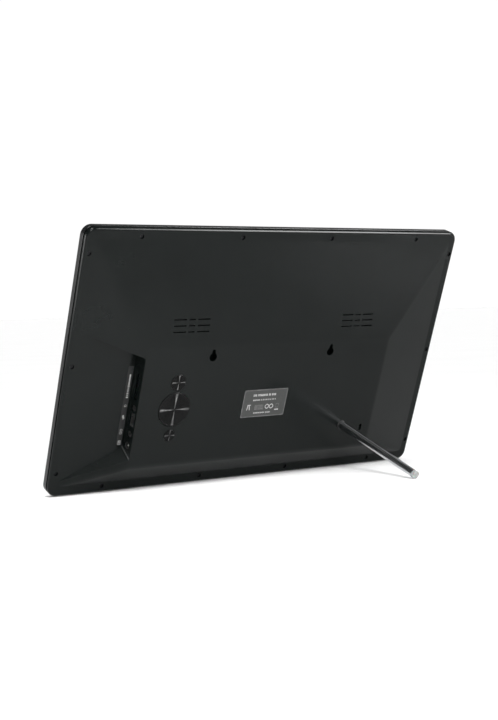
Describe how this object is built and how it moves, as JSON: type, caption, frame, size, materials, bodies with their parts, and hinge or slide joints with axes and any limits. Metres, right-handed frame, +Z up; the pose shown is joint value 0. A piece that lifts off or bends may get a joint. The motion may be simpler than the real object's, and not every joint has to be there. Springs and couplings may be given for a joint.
{
  "type": "digital photo frame",
  "caption": "Large digital photo frame leaning back on its lower edge and a screw-in rod, with a hip-roof back, sunk port bay, round keys and speaker slots.",
  "frame": {"origin": "on the table, at the middle of the standing frame's footprint box", "axes": "+X to the right seen from the screen side, screen faces -Y and leans back 20.8 degrees, +Z up"},
  "size_m": [0.444, 0.1595, 0.2503],
  "materials": {
    "bezel_plastic": "polished",
    "cover_plastic": "semi-gloss moulded",
    "key_plastic": "turned gloss",
    "black_screw": "black oxide",
    "plain_steel": "plated sheet",
    "chrome": "bright",
    "brass": "machined",
    "rubber": "matt",
    "soft_tip": "pale silicone",
    "label_grey": "printed film",
    "port_print": "printed film",
    "screen": "anti-glare",
    "film": "diffusing",
    "acrylic": "clear",
    "led": "lens",
    "circuit_board": "solder mask",
    "chip": "moulded",
    "aluminium": "anodised",
    "nylon_black": "moulded",
    "nylon_white": "moulded",
    "cone_paper": "pressed",
    "magnet": "plated",
    "foam": "closed-cell",
    "lead": "insulated",
    "ribbon": "laminated",
    "ir_plastic": "dark tinted"
  },
  "bodies": {
    "root": {"front_bezel": "bezel_plastic", "rear_cover": "cover_plastic", "cover_screws": "black_screw", "port_label": "port_print", "rating_label": "label_grey", "feet": "rubber", "stand_insert": "brass", "lcd_frame": "plain_steel", "lcd_cell": "screen", "optical_films": "film", "light_guide": "acrylic", "led_bar": "led", "lcd_tray": "plain_steel", "lcd_driver_board": "circuit_board", "lcd_clips": "plain_steel", "clip_screws": "plain_steel", "main_board": "circuit_board", "board_screws": "plain_steel", "processor": "chip", "heat_sink": "aluminium", "memory_chips": "chip", "capacitors": "aluminium", "coin_cell_holder": "nylon_black", "coin_cell": "plain_steel", "board_connectors": "nylon_white", "card_socket": "nylon_black", "usb_shell": "plain_steel", "usb_tongue": "nylon_white", "audio_jacks": "nylon_black", "dc_jack": "nylon_black", "dc_pin": "plain_steel", "tact_switches": "nylon_black", "nav_switch_stems": "nylon_white", "nav_carrier": "nylon_black", "carrier_screws": "plain_steel", "speaker_gaskets": "foam", "speaker_baskets": "nylon_black", "speaker_surrounds": "foam", "speaker_magnets": "magnet", "speaker_screws": "plain_steel", "speaker_leads": "lead", "display_ribbon": "ribbon", "backlight_lead": "lead", "ir_window": "ir_plastic", "ir_receiver": "nylon_black", "ir_board": "circuit_board", "ir_lead": "lead"},
    "stand_washer": {"stand_washer": "rubber"},
    "stand_rod": {"stand_rod": "chrome", "stand_stud": "plain_steel", "stand_tip": "soft_tip"},
    "nav_gimbal": {"nav_gimbal": "nylon_white"},
    "nav_disc": {"nav_disc": "key_plastic"},
    "power_button": {"power_button": "key_plastic", "power_switch_stem": "nylon_white"},
    "return_button": {"return_button": "key_plastic", "return_switch_stem": "nylon_white"},
    "left_speaker_cone": {"left_speaker_cone": "cone_paper"},
    "right_speaker_cone": {"right_speaker_cone": "cone_paper"}
  },
  "joints": [
    {"name": "stand_travel", "type": "slide", "parent": "root", "child": "stand_washer", "axis": [0, 0.9348, -0.3551], "range_m": [0, 0.007]},
    {"name": "stand_unscrew", "type": "hinge", "parent": "stand_washer", "child": "stand_rod", "pos_m": [-0.1074, -0.03724, 0.04743], "axis": [0, 0.9348, -0.3551], "range_deg": [0, 2520]},
    {"name": "nav_rock_up_down", "type": "hinge", "parent": "root", "child": "nav_gimbal", "pos_m": [0.1059, -0.02947, 0.0786], "axis": [-1, 0, 0], "range_deg": [-2, 2], "stiffness_Nm_per_rad": 0.7},
    {"name": "nav_rock_side", "type": "hinge", "parent": "nav_gimbal", "child": "nav_disc", "pos_m": [0.1059, -0.02947, 0.0786], "axis": [0, 0.3551, 0.9348], "range_deg": [-2, 2], "stiffness_Nm_per_rad": 0.7},
    {"name": "power_press", "type": "slide", "parent": "root", "child": "power_button", "axis": [0, -0.9348, 0.3551], "range_m": [0, 0.0005], "stiffness_N_per_m": 3000},
    {"name": "return_press", "type": "slide", "parent": "root", "child": "return_button", "axis": [0, -0.9348, 0.3551], "range_m": [0, 0.0005], "stiffness_N_per_m": 3000},
    {"name": "left_cone_travel", "type": "slide", "parent": "root", "child": "left_speaker_cone", "axis": [0, 0.9709, -0.2395], "range_m": [-0.0004, 0.0004], "stiffness_N_per_m": 900},
    {"name": "right_cone_travel", "type": "slide", "parent": "root", "child": "right_speaker_cone", "axis": [0, 0.9709, -0.2395], "range_m": [-0.0004, 0.0004], "stiffness_N_per_m": 900}
  ],
  "couplings": [
    {"joint": "stand_unscrew", "follows": "stand_travel", "rad_per_m": 6283.2}
  ]
}
